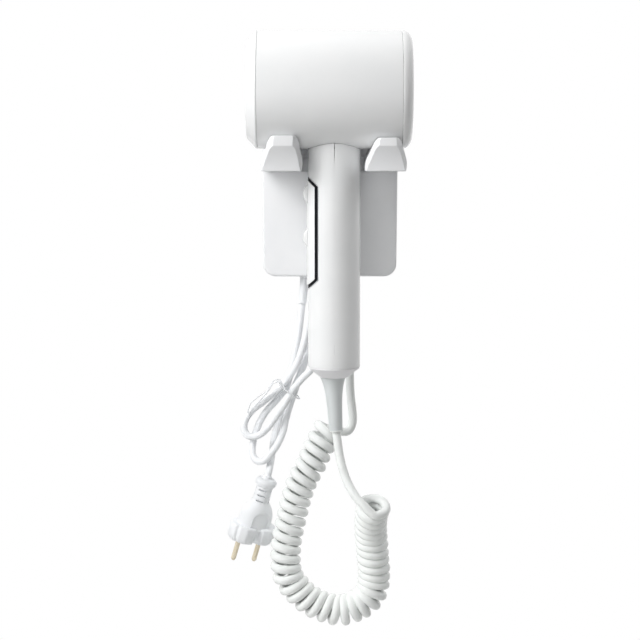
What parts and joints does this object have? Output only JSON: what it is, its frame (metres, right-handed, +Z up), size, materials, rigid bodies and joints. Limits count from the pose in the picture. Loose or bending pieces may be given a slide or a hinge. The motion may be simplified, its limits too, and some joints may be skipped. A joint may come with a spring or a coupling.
{
  "type": "hair dryer",
  "caption": "Wall-held hair dryer: cylindrical head in a cradle, straight handle with slide switches, curly handset cord, and tied mains cord with plug.",
  "frame": {"origin": "on the wall face behind the wall unit, at the unit's middle height", "axes": "+X to the right seen from the room, +Y into the wall, +Z up"},
  "size_m": [0.1468, 0.1016, 0.4708],
  "materials": {
    "gloss_white": "glossy white moulded plastic",
    "plate_white": "smooth white moulded plastic",
    "cap_white": "satin white moulded plastic",
    "relief_grey": "satin light grey flexible moulding",
    "cord_white": "satin white flexible sheath",
    "curly_white": "glossy off-white flexible sheath",
    "chrome": "bright plated trim",
    "brass": "pale brass",
    "steel": "plain steel",
    "dark_plastic": "matte dark plastic",
    "filter_grey": "open dust filter",
    "mica": "mica sheet",
    "board_green": "circuit board"
  },
  "bodies": {
    "wall_unit": {"wall_base": "plate_white", "wall_cover": "plate_white", "cradle_arm_left": "plate_white", "cradle_arm_right": "plate_white", "terminal_block": "dark_plastic", "mains_clamp": "dark_plastic", "curly_clamp": "dark_plastic", "mains_gland": "cord_white", "curly_gland": "curly_white", "mains_cord": "cord_white", "plug_body": "cord_white", "plug_pin_left": "brass", "plug_pin_right": "brass", "twist_tie": "cord_white", "curly_lead": "curly_white", "curly_coil": "curly_white", "curly_return": "curly_white"},
    "dryer": {"barrel_shell": "gloss_white", "rear_cap": "gloss_white", "intake_grille": "dark_plastic", "intake_filter": "filter_grey", "outlet_ring": "gloss_white", "outlet_grille": "dark_plastic", "motor": "steel", "motor_mount": "dark_plastic", "mica_tube": "mica", "heater_board": "mica", "heater_coil": "steel", "thermostat": "steel", "thermal_fuse": "steel", "handle_shell_left": "gloss_white", "handle_shell_right": "gloss_white", "handle_screw_upper": "steel", "handle_screw_lower": "steel", "panel_trim": "chrome", "switch_panel": "gloss_white", "switch_board": "board_green", "speed_switch": "dark_plastic", "heat_switch": "dark_plastic", "handle_end_cap": "cap_white", "strain_relief": "relief_grey", "cord_grip": "dark_plastic"},
    "fan": {"fan": "dark_plastic", "fan_shaft": "steel"},
    "speed_knob": {"speed_knob": "gloss_white"},
    "heat_knob": {"heat_knob": "gloss_white"}
  },
  "joints": [
    {"name": "dryer_lift", "type": "slide", "parent": "wall_unit", "child": "dryer", "axis": [0, -0.7071, 0.7071], "range_m": [0, 0.13]},
    {"name": "fan_spin", "type": "hinge", "parent": "dryer", "child": "fan", "pos_m": [-0.051, -0.056, 0.0776], "axis": [1, 0, 0], "continuous": true},
    {"name": "speed_slide", "type": "slide", "parent": "dryer", "child": "speed_knob", "axis": [0, 0, -1], "range_m": [0, 0.008]},
    {"name": "heat_slide", "type": "slide", "parent": "dryer", "child": "heat_knob", "axis": [0, 0, -1], "range_m": [0, 0.008]}
  ]
}
